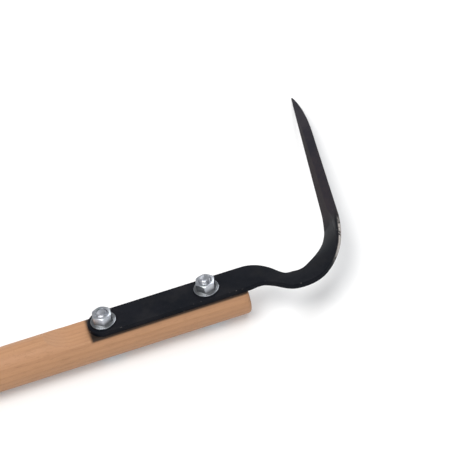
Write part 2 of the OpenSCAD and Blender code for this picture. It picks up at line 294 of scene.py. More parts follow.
# %% The strip's tree
def strip_tree():
    tree, size = new_tree("sweep_strip", SIZES)
    radian = math.radians(1)

    rings = size["Rings"]
    grid = put(tree, "GeometryNodeMeshGrid", {"Size X": 1.0, "Size Y": 1.0, "Vertices Y": COLUMNS + 1,
                                              "Vertices X": rings + float(END_RINGS + 2)})
    grid_x, grid_y = split(put(tree, "GeometryNodeInputPosition"))[:2]
    # A face stands halfway between two columns. The quarter makes it count as the second of them.
    ring = ((grid_x + 0.5) * (rings + float(END_RINGS + 1)) + 0.25).math("ROUND")
    column = ((grid_y + 0.5) * float(COLUMNS) + 0.25).math("ROUND")

    # Lengths along the middle line, counted from the start of the neck
    neck, heel, bow = bend_lengths(size)
    heel_at = neck + size["Neck run"]
    bow_at = heel_at + heel
    blade_at = bow_at + bow
    tip_at = blade_at + size["Blade length"]
    tail_at = -(size["Neck start"] + size["Bolt gap"] + size["Tail past"])
    rounding = size["Tip rounding"]
    spacing = (tip_at - rounding - tail_at) / (rings - 1.0)

    def end_angle(number):
        past = (number - rings).math("MAXIMUM", 0.0).math("MINIMUM", float(END_RINGS))
        return past * (math.pi / 2 / END_RINGS)

    def length_at(number):
        main = (number - 1.0).math("MAXIMUM", 0.0).math("MINIMUM", rings - 1.0)
        return tail_at + main * spacing + rounding * end_angle(number).math("SINE")

    def heading_at(s):
        first = (s / neck).clamped() * size["Neck turn"]
        second = ((s - heel_at) / heel).clamped() * size["Heel turn"]
        third = ((s - bow_at) / bow).clamped() * size["Bow turn"]
        return (second + third - first) * radian

    s = length_at(ring)
    heading = heading_at(s)
    step = length_at(ring + 1.0) - s
    halfway = heading_at(s + step * 0.5)
    forward = joined(tree, step * halfway.math("COSINE"), step * halfway.math("SINE"))
    walked_x, mid_y = split(put(tree, "GeometryNodeAccumulateField", {0: forward, 1: column}, "Trailing",
                                data_type="FLOAT_VECTOR"))[:2]
    mid_x = walked_x - (size["Bolt gap"] + size["Tail past"])

    more_twist = size["Blade twist"] - size["Neck twist"]
    bow_step = (s - blade_at + size["Twist gap"] + size["Bow twist length"]) / size["Bow twist length"]
    twist = (size["Neck twist"] * (s / size["Neck twist length"]).smooth()
             + more_twist * bow_step.smooth()) * radian
    drawn = (s / size["Draw length"]).smooth()
    spread = ((s - size["Draw length"]) / size["Spread length"]).smooth()
    half_w = (mixed(size["Shank width"], size["Waist width"], drawn)
              + (size["Blade width"] - size["Waist width"]) * spread
              + (size["Tip width"] - size["Blade width"])
              * ((s - blade_at) / size["Blade length"]).clamped()) * 0.5
    half_t = size["Thickness"] * 0.5
    grind_at = blade_at - size["Run-out"] * 0.5
    ground = ((s - grind_at) / size["Run-out"]).smooth()

    # Towards the point the outer edge comes in on an arc, so half the width goes and the middle moves
    curved = (1.0 - (tip_at - s) / size["Tip curve"]).clamped()
    come_in = (size["Tip width"] - size["Point width"]) * curved * curved
    off_middle = come_in * 0.5
    half_w = half_w - off_middle
    bevels = size["Outer bevel"] + size["Inner bevel"]
    part = ((half_w * 2.0 - size["Crest"]) / bevels).math("MINIMUM", 1.0)

    # The section: each column is a step round one of its four corners
    around = column.math("MODULO", float(COLUMNS))
    corner = (around / float(CORNER_STEPS + 1)).math("FLOOR")
    share = (around - corner * float(CORNER_STEPS + 1)) * (1.0 / CORNER_STEPS)
    angle = (corner - 1.0 + share) * (math.pi / 2)
    right_side = 1.0 - 2.0 * (corner > 1.5)
    upper_side = ((corner > 0.5) - (corner > 2.5)) * 2.0 - 1.0
    edge_r = size["Edge radius"]
    plain_x = right_side * (half_w - edge_r) + edge_r * angle.math("COSINE")
    plain_y = upper_side * (half_t - edge_r) + edge_r * angle.math("SINE")
    land = size["Bevel foot"] + size["Edge thickness"] - half_t
    bevel_rise = (half_t - land) * part
    picked = tree.nodes.new("GeometryNodeIndexSwitch")
    picked.data_type = "VECTOR"
    while len(picked.index_switch_items) < 4:
        picked.index_switch_items.new()
    feed(tree, picked.inputs["Index"], corner)
    back = 1.0 - share
    corners = [(plain_x, plain_y),
               (half_w - size["Inner bevel"] * part * share, land + bevel_rise * share),
               (size["Outer bevel"] * part * back - half_w, land + bevel_rise * back),
               (plain_x, plain_y)]
    for number, (x, y) in enumerate(corners):
        feed(tree, picked.inputs[str(number)], joined(tree, x, y))
    ground_x, ground_y = split(Value(tree, picked.outputs[0]))[:2]

    # The last rings shrink a little towards the middle, and the two end rings to a point
    inset = rounding * (1.0 - end_angle(ring).math("COSINE"))
    kept = ring.clamped() * (rings + float(END_RINGS + 1) - ring).clamped()
    across = mixed(plain_x, ground_x, ground) * (1.0 - inset / half_w) * kept + off_middle
    mid_h = ground * (land + bevel_rise - half_t) * 0.5
    above = mixed(plain_y, ground_y, ground) - mid_h
    above = above * (1.0 - inset / half_t) * kept + mid_h
    sin_h, cos_h = heading.math("SINE"), heading.math("COSINE")
    sin_t, cos_t = twist.math("SINE"), twist.math("COSINE")
    sideways = across * cos_t + above * sin_t
    height = size["Seat height"] + half_t - across * sin_t + above * cos_t
    point = joined(tree, mid_x - sideways * sin_h, mid_y + sideways * cos_h, height)

    # What the paint needs to know: where along, how far across, on a rim, and which faces are ground
    corner_face = share > 0.01
    upper = (corner > 0.5) - (corner > 2.5)
    marks = [("along", "POINT", s), ("across", "POINT", across), ("above", "POINT", above),
             ("rim", "POINT", (share * math.pi).math("SINE") * (1.0 - ground * upper)),
             ("bevel", "FACE", ground * upper * corner_face),
             ("outer_side", "FACE", (corner > 2.5) * (1.0 - corner_face))]
    shape = grid
    for name, domain, field in marks:
        inputs = {"Geometry": shape, "Name": name, "Value": field}
        shape = put(tree, "GeometryNodeStoreNamedAttribute", inputs, data_type="FLOAT", domain=domain)
    placed = put(tree, "GeometryNodeSetPosition", {"Geometry": shape, "Position": point})
    closed = put(tree, "GeometryNodeMergeByDistance", {"Geometry": placed, "Distance": 0.001})
    return end_tree(tree, closed, size["Material"])


print("strip tree written")

# %% [markdown]
# ## Round tail and bolt holes
#
# The bar's rear end is cut round and the strip is drilled for its bolts. Both are cuts across a finished
# bar, as in the workshop, so Boolean modifiers make them. The tail's cutter is a block with a coin-shaped
# hollow whose rim is rounded like the bar's own edges, so the rounding runs on round the tail.

# %% Cutting tools
COLUMNS_ROUND = 96


def closed_rings(name, rings, looped):
    """A mesh from rings of points. The last ring joins the first one, or both ends shrink to a point."""
    count, columns = len(rings), len(rings[0])
    faces = []
    for i in range(count if looped else count - 1):
        a, b = i * columns, (i + 1) % count * columns
        faces += [(a + k, a + (k + 1) % columns, b + (k + 1) % columns, b + k) for k in range(columns)]
    mesh = bpy.data.meshes.new(name)
    mesh.from_pydata(np.concatenate(rings).tolist(), [], faces)
    return new_object(name, mesh)


def turned(name, outline, x, columns=COLUMNS_ROUND, looped=False):
    """Turns an outline of (radius, height) about the upright axis at x. A radius may be an array, one
    number for each column."""
    angles = np.arange(columns) * 2 * math.pi / columns
    rings = []
    for radius, height in outline:
        r = np.broadcast_to(np.asarray(radius, float), (columns,))
        h = np.broadcast_to(np.asarray(height, float), (columns,))
        rings.append(np.stack([x + r * np.cos(angles), r * np.sin(angles), h], axis=1))
    return closed_rings(name, rings, looped)


def block(name, low, high):
    mesh = bpy.data.meshes.new(name)
    work = bmesh.new()
    bmesh.ops.create_cube(work, size=1.0)
    for vertex in work.verts:
        vertex.co = [low[i] + (vertex.co[i] + 0.5) * (high[i] - low[i]) for i in range(3)]
    work.to_mesh(mesh)
    work.free()
    return new_object(name, mesh)


def tidy_tool(tool):
    work = bmesh.new()
    work.from_mesh(tool.data)
    bmesh.ops.remove_doubles(work, verts=work.verts, dist=SEAM)
    bmesh.ops.recalc_face_normals(work, faces=work.faces)
    work.to_mesh(tool.data)
    work.free()
    return tool


def cut(piece, *tools):
    """Cuts the tools out of the piece, one after the other, and throws them away."""
    for tool in tools:
        modifier = piece.modifiers.new("cut", "BOOLEAN")
        modifier.operation, modifier.solver, modifier.object = "DIFFERENCE", "EXACT", tidy_tool(tool)
    keep_evaluated(piece)
    for tool in tools:
        bpy.data.objects.remove(tool)


def finish_with(piece, material):
    """Gives every face, the cut ones too, the same finish."""
    piece.data.materials.clear()
    piece.data.materials.append(material)
    piece.data.polygons.foreach_set("material_index", [0] * len(piece.data.polygons))


print("cutting tools ready")

# %% [markdown]
# ## Colours that a maker would mix
#
# Three finishes make this tool: satin black paint, waxed beech and bright zinc. They share what use and
# time do to them, so those effects are node groups, built once and placed in each material with its own
# values: fine crossing scratches, a thin film of dust, and soft clouds of a slightly different tone.
# Every pattern reads object coordinates in metres, and all pieces stand at the origin, so a pattern stays
# on its piece wherever the camera goes.

# %% Shared effects
def effect(name, sizes, output):
    """Starts a shader group. Returns it, its inputs as Values and the socket of its one output."""
    tree = bpy.data.node_groups.new(name, "ShaderNodeTree")
    tree.interface.new_socket("Vector", in_out="INPUT", socket_type="NodeSocketVector")
    tree.interface.new_socket(output, in_out="OUTPUT", socket_type="NodeSocketFloat")
    return tree, tree_inputs(tree, sizes), tree.nodes.new("NodeGroupOutput").inputs[output]


def noise(tree, vector, scale, detail=3.0, roughness=0.5):
    return put(tree, "ShaderNodeTexNoise", {"Vector": vector, "Scale": scale, "Detail": detail,
                                            "Roughness": roughness})


def facing(tree):
    """The x, y and z of the surface's normal."""
    return split(put(tree, "ShaderNodeNewGeometry", out="Normal"))


def ramp(value, low, high):
    """0 at low, 1 at high and smooth between them, also where high is the smaller number."""
    return ((value - low) * (1.0 / (high - low))).smooth()


def between(value, start, full, fade, end):
    """1 from full to fade, and smoothly down to 0 at start and at end."""
    return ramp(value, start, full) * ramp(value, end, fade)


def scratches_group():
    """Short fine lines in three directions. Amount is the share of the surface that is scratched."""
    tree, size, mask = effect("fine_scratches", {"Length": 30.0, "Fineness": 900.0, "Amount": 0.3}, "Mask")
    scale = joined(tree, size["Length"], size["Fineness"], size["Fineness"])
    total = None
    for turn in ((0.1, 0.2, 0.35), (0.3, 0.1, 1.45), (0.2, -0.3, -0.8)):
        turned_place = put(tree, "ShaderNodeMapping", {"Vector": size["Vector"], "Rotation": turn})
        scaled = put(tree, "ShaderNodeVectorMath", {0: turned_place, 1: scale}, operation="MULTIPLY")
        line = noise(tree, scaled, 1.0, 1.0)
        line = ((line - 0.72 + size["Amount"] * 0.1) * 12.0).clamped()
        total = line if total is None else total.math("MAXIMUM", line)
    feed(tree, mask, total)
    return tree


def dust_group():
    """A film of dust that gathers on faces that look up, in soft patches."""
    tree, size, mask = effect("dust_film", {"Patch": 60.0, "Speck": 2500.0}, "Mask")
    patches = ramp(noise(tree, size["Vector"], size["Patch"], 4.0), 0.42, 0.75)
    specks = ramp(noise(tree, size["Vector"], size["Speck"], 2.0), 0.5, 0.8)
    up = (facing(tree)[2] * 0.6 + 0.4).clamped()
    feed(tree, mask, (patches * 0.6 + specks * 0.4) * up)
    return tree


def clouds_group():
    """Soft clouds from a large and a small noise, about 0.5 on average."""
    tree, size, tone = effect("tone_clouds", {"Large": 25.0, "Small": 160.0, "Share": 0.4}, "Tone")
    large = noise(tree, size["Vector"], size["Large"], 3.0)
    small = noise(tree, size["Vector"], size["Small"], 4.0, 0.6)
    feed(tree, tone, mixed(large, small, size["Share"]))
    return tree


SCRATCHES, DUST, CLOUDS = scratches_group(), dust_group(), clouds_group()


def use_effect(tree, group, **sizes):
    """Places a group with its own values and returns its one output."""
    node = tree.nodes.new("ShaderNodeGroup")
    node.node_tree = group
    for name, value in sizes.items():
        feed(tree, node.inputs[name], value)
    return Value(tree, node.outputs[0])


print("shared effects:", SCRATCHES.name, DUST.name, CLOUDS.name)

# %% Material helpers
def new_finish(name, **constants):
    """A material with one Principled shader. Constants are set on the shader itself."""
    material = bpy.data.materials.new(name)
    material.use_nodes = True
    tree = material.node_tree
    shader = next(n for n in tree.nodes if n.type == "BSDF_PRINCIPLED")
    for socket, value in constants.items():
        shader.inputs[socket.replace("_", " ")].default_value = value
    place = put(tree, "ShaderNodeTexCoord", out="Object")
    return material, tree, shader, place


def tint(tree, share, a, b):
    """The colour a share of the way from a to b."""
    node = tree.nodes.new("ShaderNodeMix")
    node.data_type = "RGBA"
    feed(tree, node.inputs["Factor"], share)
    # A mix node has pairs of sockets for each type. These are the ones for colours.
    for socket, colour in ((node.inputs[6], a), (node.inputs[7], b)):
        feed(tree, socket, colour if isinstance(colour, Value) else (*colour, 1.0))
    return Value(tree, node.outputs[2])


def bumped(tree, shader, height):
    """Height in millimetres of relief, for the shader's normal."""
    normal = put(tree, "ShaderNodeBump", {"Distance": 0.001, "Height": height}, "Normal")
    feed(tree, shader.inputs["Normal"], normal)


def bench_height(place):
    """How high a place lies on the bench, in millimetres over the pole's axis."""
    y, z = split(place)[1:]
    return ((y - AXIS.y) * math.sin(ROLL) + (z - AXIS.z) * math.cos(ROLL)) * 1000.0


print("material helpers ready")

# %% [markdown]
# ## Satin black paint on steel
#
# The strip is painted black after grinding. The coat is thin: it shows the grinder's lines on the bevels and
# has rubbed through to steel on the outer side of the bow, which meets stones first. A painted sheen makes
# the blade's flat faces a lighter, brownish black, and a lighter gray streaky patch lies where the blade
# begins. The tree reads the marks that the strip's own tree left on the mesh: how far along and across a
# point lies, and which faces are ground.

# %% Black paint
BLACK = {
    "deep": (0.0030, 0.0042, 0.0072), "soft": (0.0070, 0.0078, 0.0115), "blade_sheen": (0.0205, 0.0150, 0.0175),
    "bevel": (0.023, 0.021, 0.029), "brown bevel": (0.034, 0.026, 0.031), "tip": (0.031, 0.030, 0.037),
    "line": (0.030, 0.029, 0.036), "scratch": (0.030, 0.030, 0.031), "dust": (0.12, 0.105, 0.09),
    "pale_patch": (0.075, 0.075, 0.080), "dark steel": (0.36, 0.32, 0.29), "bright steel": (0.68, 0.64, 0.61),
}
# Millimetres along the strip, from the start of the neck, where an effect starts, is full, fades and ends
WORN_BOW, PALE_PATCH_ALONG = (60.0, 74.0, 92.0, 104.0), (80.0, 96.0, 98.0, 114.0)
BLADE_TONES_AT, NEAR_TIP = (92.0, 118.0), (165.0, 235.0)
PALE_PATCH_ACROSS, OUTER_HALF = (-9.0, -5.5, -4.5, 1.0), (0.0, -5.5)


def black_paint():
    material, tree, shader, place = new_finish("satin_black_paint", Specular_IOR_Level=0.07)
    along, across, above, rim, bevel, outer_side = (
        put(tree, "ShaderNodeAttribute", out="Fac", attribute_name=name)
        for name in ("along", "across", "above", "rim", "bevel", "outer_side"))
    worn = noise(tree, place, 300.0, 4.0, 0.65)
    lower = ramp(above + (worn - 0.5) * 1.5, 1.1, 0.0)
    outer = ramp(across, *OUTER_HALF)

    tone = use_effect(tree, CLOUDS, Vector=place, Large=30.0, Small=260.0, Share=0.45)
    base = tint(tree, ramp(tone, 0.35, 0.68), BLACK["deep"], BLACK["soft"])
    blade = ramp(along, *BLADE_TONES_AT)
    # Painted sheen: the blade's flat faces are lightened to a brownish black
    base = tint(tree, blade * (1.0 - bevel) * ramp(tone, 0.25, 0.55) * 0.9, base, BLACK["blade_sheen"])
    ground = tint(tree, ramp(tone, 0.4, 0.6), BLACK["bevel"], BLACK["brown bevel"])
    base = tint(tree, blade * bevel * 0.7, base, ground)
    base = tint(tree, ramp(along, *NEAR_TIP) * ramp(tone, 0.36, 0.62) * 0.7, base, BLACK["tip"])

    # The grinder's lines run across the bevels, so the pattern is fine along the blade and long across
    grind = noise(tree, joined(tree, along * 2.6, across * 0.12, bevel), 1.0, 4.0, 0.65)
    base = tint(tree, bevel * ramp(grind, 0.45, 0.75) * 0.25, base, BLACK["line"])

    scratch = use_effect(tree, SCRATCHES, Vector=place, Length=60.0, Fineness=4200.0, Amount=0.35)
    base = tint(tree, scratch * 0.35, base, BLACK["scratch"])
    dust = use_effect(tree, DUST, Vector=place, Patch=70.0, Speck=2200.0)
    base = tint(tree, dust * 0.08, base, BLACK["dust"])

    # A lighter gray streaky patch where the blade begins, and bare steel on the bow's outer side and in
    # nicks on every rim
    strokes = ramp(noise(tree, joined(tree, along * 0.10, across * 1.7, 0.5), 1.0, 4.0, 0.7), 0.35, 0.7)
    pale_patch = between(along, *PALE_PATCH_ALONG) * between(across, *PALE_PATCH_ACROSS) * strokes
    base = tint(tree, pale_patch * 0.6, base, BLACK["pale_patch"])
    band = between(along, *WORN_BOW) * outer * lower
    nicks = ramp(noise(tree, place, 420.0, 3.0, 0.6), 0.62, 0.70)
    bare = (band * (outer_side * ramp(worn, 0.38, 0.52) * 0.9 + rim * 0.6) + rim * nicks * 0.3).clamped()
    steel = tint(tree, noise(tree, place, 900.0, 3.0), BLACK["dark steel"], BLACK["bright steel"])
    feed(tree, shader.inputs["Base Color"], tint(tree, bare, base, steel))
    feed(tree, shader.inputs["Metallic"], bare * 0.4)

    rough = 0.42 + tone * 0.16 + scratch * 0.08 + dust * 0.12 + bevel * grind * 0.10
    feed(tree, shader.inputs["Roughness"], rough)
    mill = noise(tree, place, 420.0, 4.0, 0.6)
    wave = noise(tree, place, 70.0, 2.0)
    relief = mill * 0.02 + wave * 0.16 + bevel * grind * 0.05 - scratch * 0.01 - bare * 0.04
    bumped(tree, shader, relief)
    return material


PAINT = black_paint()
print("finish:", PAINT.name)

# %% [markdown]
# ## Bright zinc
#
# The bolts and nuts are zinc plated: a bluish, slightly cloudy metal with fine turning marks. Zinc dulls
# in patches, so the clouds change both its tone and its roughness. Bolts and nuts come from different
# baths, so each has its own tinge. A painted shade darkens the zinc in the corner between flange and
# hexagon and fades up the hexagon's flanks.

# %% Zinc
ZINC = {"dull": (0.30, 0.33, 0.37), "clean": (0.48, 0.49, 0.53), "dust": (0.25, 0.235, 0.21),
        "corner_shade": (0.085, 0.090, 0.095)}
# Bench heights where the painted shade over a nut's flange starts, is full, fades and ends
CORNER_SHADE_HEIGHTS = [NUT_Z + rise for rise in (1.05, 1.35, 1.6, 6.4)]


def zinc(name, tinge):
    material, tree, shader, place = new_finish(name)
    tone = use_effect(tree, CLOUDS, Vector=place, Large=140.0, Small=900.0, Share=0.4)
    base = tint(tree, ramp(tone, 0.35, 0.66), ZINC["dull"], ZINC["clean"])
    base = tint(tree, ramp(noise(tree, place, 190.0, 2.0), 0.5, 0.7) * 0.35, base, tinge)
    scratch = use_effect(tree, SCRATCHES, Vector=place, Length=160.0, Fineness=5200.0, Amount=0.3)
    dust = use_effect(tree, DUST, Vector=place, Patch=200.0, Speck=3000.0)
    base = tint(tree, dust * 0.25, base, ZINC["dust"])

    # Painted shade: darker, less metallic zinc in the corner over the flange, fading up the hexagon
    corner_shade = (between(bench_height(place), *CORNER_SHADE_HEIGHTS) * (0.5 + tone * 0.8)).clamped()
    base = tint(tree, corner_shade, base, ZINC["corner_shade"])
    feed(tree, shader.inputs["Base Color"], base)
    feed(tree, shader.inputs["Metallic"], 1.0 - dust * 0.3 - corner_shade * 0.3)
    feed(tree, shader.inputs["Roughness"], 0.20 + tone * 0.16 + scratch * 0.1 + dust * 0.2)
    relief = noise(tree, place, 2200.0, 3.0) * 0.012 + noise(tree, place, 500.0, 2.0) * 0.02 - scratch * 0.01
    bumped(tree, shader, relief)
    return material


BOLT_ZINC = zinc("bolt_zinc", (0.45, 0.43, 0.38))
NUT_ZINC = zinc("nut_zinc", (0.34, 0.41, 0.38))
print("finishes:", BOLT_ZINC.name, NUT_ZINC.name)

# %% [markdown]
# ## Waxed beech
#
# A turned pole is a cylinder cut out of a tree, so its grain is a pattern in space: the growth rings are
# wide cylinders whose axis lies beside the pole. Where the pole's surface runs along them it shows long
# straight figure, and on the sawn ends it shows arcs, from the same formula. Beech adds short dark flecks,
# its rays, and very fine pores along the grain. Sawn ends drink more wax and look darker, and a painted
# shade darkens the wood in the corner under the steel.

# %% Beech
HEART_Y, HEART_Z, YEARS_PER_METRE = AXIS.y + 0.055, AXIS.z - 0.085, 420.0
# Bench heights of the painted shade under the strip, which stops where the strip's tail ends
TAIL_END_X, SEAT_SHADE_HEIGHT = AXIS.x - STRAIGHT / 1000, (SEAT_Z - 2.1, SEAT_Z - 0.6)
WOOD = {"pale": (0.452, 0.242, 0.124), "dark": (0.345, 0.170, 0.083), "broad": (0.420, 0.208, 0.107),
        "fleck": (0.20, 0.095, 0.049), "pore": (0.168, 0.080, 0.042), "sawn": (0.22, 0.108, 0.054),
        "dust": (0.26, 0.18, 0.12), "scratch": (0.25, 0.13, 0.068), "corner_shade": (0.016, 0.008, 0.004)}


def grain(tree, place, along, across, detail, roughness=0.5):
    """A noise drawn out along the pole, with so many cells to the metre along it and across it."""
    cells = put(tree, "ShaderNodeMapping", {"Vector": place, "Scale": (along, across, across)})
    return noise(tree, cells, 1.0, detail, roughness)


def beech():
    material, tree, shader, place = new_finish("waxed_beech", Specular_IOR_Level=0.35)
    bend = grain(tree, place, 1.2, 18.0, 2.0)
    x, y, z = split(place)
    side = y - HEART_Y + (bend - 0.5) * 0.02
    rise = z - HEART_Z
    depth = (side * side + rise * rise).math("SQRT")
    year = depth * YEARS_PER_METRE + grain(tree, place, 2.0, 60.0, 3.0) * 0.9
    late = between(year - year.math("FLOOR"), 0.35, 0.93, 0.94, 1.0)

    fibre = grain(tree, place, 14.0, 1500.0, 4.0, 0.65)
    broad = grain(tree, place, 3.5, 120.0, 3.0)
    fleck = ramp(grain(tree, place, 260.0, 1900.0, 1.0), 0.64, 0.74)
    pores = ramp(grain(tree, place, 90.0, 5200.0, 1.0), 0.62, 0.72)
    sawn = ramp(facing(tree)[0].math("ABSOLUTE"), 0.6, 0.95)
    dust = use_effect(tree, DUST, Vector=place, Patch=35.0, Speck=1800.0)
    scratch = use_effect(tree, SCRATCHES, Vector=place, Length=25.0, Fineness=700.0, Amount=0.2)
    # Painted shade: the wood just under the strip's edge is darkened and a little rougher, where the strip
    # shades it
    seat_shade = ramp(bench_height(place) + (broad - 0.5) * 0.8, *SEAT_SHADE_HEIGHT)
    seat_shade = seat_shade * ramp(x - TAIL_END_X, -0.002, 0.001)

    base = tint(tree, late * 0.36 + ramp(fibre, 0.3, 0.8) * 0.30, WOOD["pale"], WOOD["dark"])
    for share, shade in ((ramp(broad, 0.35, 0.7) * 0.30, "broad"), (fleck * 0.30, "fleck"),
                         (pores * 0.25, "pore"), (sawn * 0.45, "sawn"), (dust * 0.10, "dust"),
                         (scratch * 0.2, "scratch"), ((seat_shade * (0.80 + broad * 0.4)).clamped(), "corner_shade")):
        base = tint(tree, share, base, WOOD[shade])
    feed(tree, shader.inputs["Base Color"], base)
    feed(tree, shader.inputs["Roughness"], 0.40 + fibre * 0.16 + sawn * 0.2 + dust * 0.1 + seat_shade * 0.25)
    relief = fibre * 0.05 - pores * 0.05 - fleck * 0.02 + late * 0.03 + broad * 0.05
    bumped(tree, shader, relief)
    return material


BEECH = beech()
print("finish:", BEECH.name)

# %% [markdown]
# ## The finished strip
#
# The paint is mixed, so the strip's tree can run. Then the bar gets its round tail and its two holes. Each
# cutting tool stands a little clear of the steel, because a Boolean has no answer for faces that coincide.

# %% Make the strip
STRIP = new_object("twisted_cutter", bpy.data.meshes.new("twisted_cutter"))
run_tree(STRIP, strip_tree(), {**SIZES, "Material": PAINT})
print("swept strip:", len(STRIP.data.vertices), "points")

HOLE_R, TAIL_SIDE, COIN_COLUMNS = 4.3, 0.5, 128
OVERLAP, CLEAR_OF = 0.01, 2.0
TAIL_R = SIZES["Shank width"] / 2 + TAIL_SIDE
TAIL_X = TAIL_R - STRAIGHT
TOOL_LOW, TOOL_HIGH = SEAT_Z - CLEAR_OF, NUT_Z + CLEAR_OF
REAR_X = -SIZES["Bolt gap"]


def rounded_coin(name, x, radius, low, high, rounding):
    """A flat disc with rounded rims."""
    quarter = [math.radians(a) for a in (0, 22.5, 45, 67.5, 90)]
    lower = [(radius - rounding * (1 - math.sin(a)), low + rounding * (1 - math.cos(a))) for a in quarter]
    upper = [(r, low + high - z) for r, z in reversed(lower)]
    return turned(name, [(0, low), *lower, *upper, (0, high)], x, COIN_COLUMNS)


tail_tool = block("tail_tool", (TAIL_X - 2 * TAIL_R, -2 * TAIL_R, TOOL_LOW), (TAIL_X, 2 * TAIL_R, TOOL_HIGH))
coin = rounded_coin("coin", TAIL_X, TAIL_R, SEAT_Z - OVERLAP, NUT_Z + OVERLAP, SIZES["Edge radius"])
cut(tidy_tool(tail_tool), coin)
drill = [(0, TOOL_LOW), (HOLE_R, TOOL_LOW), (HOLE_R, TOOL_HIGH), (0, TOOL_HIGH)]
cut(STRIP, tail_tool, *[turned("drill", drill, x) for x in (0, REAR_X)])
finish_with(STRIP, PAINT)
lay_down(STRIP)

# %% [markdown]
# ## The pole
#
# A pole is turned, then one side of its head end is milled flat for the strip. The run-out of that flat is
# round, because the cutter is. A Boolean would leave long thin triangles along it, so the mesh is built to
# follow the cut: each ring is an arc from one edge of the flat round to the other, and a straight line
# back. On the plain pole the straight line has no length, and its points merge into one. Sanding has
# broken the flat's edges a little, so each ring also takes its two corners off.

# %% Make the pole
FLAT_END_X, CUTTER_R = -98.5, 40.0
ARC_COLUMNS, FLAT_COLUMNS = 120, 12
SANDED, BUTT_ROUND, HEAD_ROUND = 0.4, 8.0, 3.0
ROUND_RINGS, PLAIN_RINGS, RUN_OUT_RINGS, FLAT_RINGS = 10, 60, 25, 30


def flat_height(x):
    """How high the wood reaches at x: up to the milled flat, its round run-out, or the whole round."""
    if x >= FLAT_END_X:
        past = max(0.0, x - HEAD_X + SANDED)
        return SEAT_Z - SANDED + math.sqrt(SANDED ** 2 - past ** 2)
    back = FLAT_END_X - x
    return POLE_R if back >= CUTTER_R else SEAT_Z + CUTTER_R - math.sqrt(CUTTER_R ** 2 - back ** 2)


def pole_ring(x, radius):
    """One ring of points at x. The end rings have no radius, so what is divided by is never 0."""
    divisor = max(radius, 1e-6)
    edge = math.asin(min(1.0, flat_height(x) / divisor))
    half = radius * math.cos(edge)
    broken = min(SANDED, half / 2)
    edge_on = edge - broken / divisor
    arc = np.linspace(math.pi - edge_on, 2 * math.pi + edge_on, ARC_COLUMNS)
    sides = np.linspace(1, -1, FLAT_COLUMNS) * (half - broken)
    y = np.concatenate([radius * np.cos(arc), sides])
    z = np.concatenate([radius * np.sin(arc), np.full(FLAT_COLUMNS, radius * math.sin(edge))])
    return np.stack([np.full(len(y), x), y, z], axis=1)


def rounded_rim(x, inward, rounding):
    """(x, radius) of a rim at x, from the plain pole to its end. Inward is 1 or -1 along the pole."""
    return [(x + inward * rounding * (1 - math.sin(a)), POLE_R - rounding * (1 - math.cos(a)))
            for a in np.radians(np.linspace(0, 90, ROUND_RINGS))]


def pole_outline():
    """(x, radius) from the butt's middle to the head end's middle, both rims rounded."""
    run_out = FLAT_END_X - math.sqrt(CUTTER_R ** 2 - (CUTTER_R - POLE_R + SEAT_Z) ** 2)
    butt = rounded_rim(BUTT_X, 1, BUTT_ROUND)[::-1]
    head = rounded_rim(HEAD_X, -1, HEAD_ROUND)
    plain = np.linspace(BUTT_X + BUTT_ROUND, run_out - 0.5, PLAIN_RINGS)[1:]
    milled = np.linspace(run_out, FLAT_END_X, RUN_OUT_RINGS)
    flat = np.linspace(FLAT_END_X, HEAD_X - HEAD_ROUND, FLAT_RINGS)[1:]
    straight = [(x, POLE_R) for x in (*plain, *milled, *flat)]
    butt_end = [(BUTT_X, 0.0), (BUTT_X, (POLE_R - BUTT_ROUND) / 2)]
    head_end = [(HEAD_X, (POLE_R - HEAD_ROUND) / 2), (HEAD_X, 0.0)]
    return [*butt_end, *butt, *straight, *head[1:], *head_end]


HEAD_SINK, SQUARE_W, SQUARE_L, HEAD_D, HEAD_H = 4.2, 8.2, 5.5, 20.6, 4.9
NECK_CORNER_R, WAY_CORNER_R, WAY_GAP, SEAT_GAP = 5.45, 5.8, 0.05, 0.3
HEAD_Z = HEAD_SINK - POLE_R


def square_radius(side, corner):
    """The radius of a square with rounded corners, at each column."""
    angles = np.arange(COLUMNS_ROUND) * 2 * math.pi / COLUMNS_ROUND
    flat = side / 2 / np.maximum(abs(np.cos(angles)), abs(np.sin(angles)))
    return np.minimum(flat, corner)


def bolt_way(x):
    """Seat for the head, square way for the neck and round hole, as one tool."""
    seat_r, low, square_top = HEAD_D / 2 + SEAT_GAP, -POLE_R - CLEAR_OF, HEAD_Z + SQUARE_L
    square = np.maximum(square_radius(SQUARE_W + 2 * WAY_GAP, WAY_CORNER_R), HOLE_R)
    outline = [(0, low), (seat_r, low), (seat_r, HEAD_Z), (square, HEAD_Z), (square, square_top),
               (HOLE_R, square_top), (HOLE_R, POLE_R), (0, POLE_R)]
    return turned("bolt_way", outline, x)


POLE = closed_rings("pole", [pole_ring(x, r) for x, r in pole_outline()], False)
cut(tidy_tool(POLE), bolt_way(0), bolt_way(REAR_X))
finish_with(POLE, BEECH)
lay_down(POLE, 30)

# %% [markdown]
# ## Threads
#
# A thread is a groove that repeats once in every pitch, so a geometry tree cuts it. The turned bolt has
# fine plain rings where its thread will be. For each point the tree works out how far it lies between two
# turns of the helix, from its height and its angle about the bolt, and moves it in to the thread's own
# radius there, but never further out than it was. So the chamfer on the bolt's end stays. In a nut the same
# tree moves the bore's points outwards, to the same helix, and bolt and nut fit each other.

# %% The thread's tree
CORE_R = 2.2


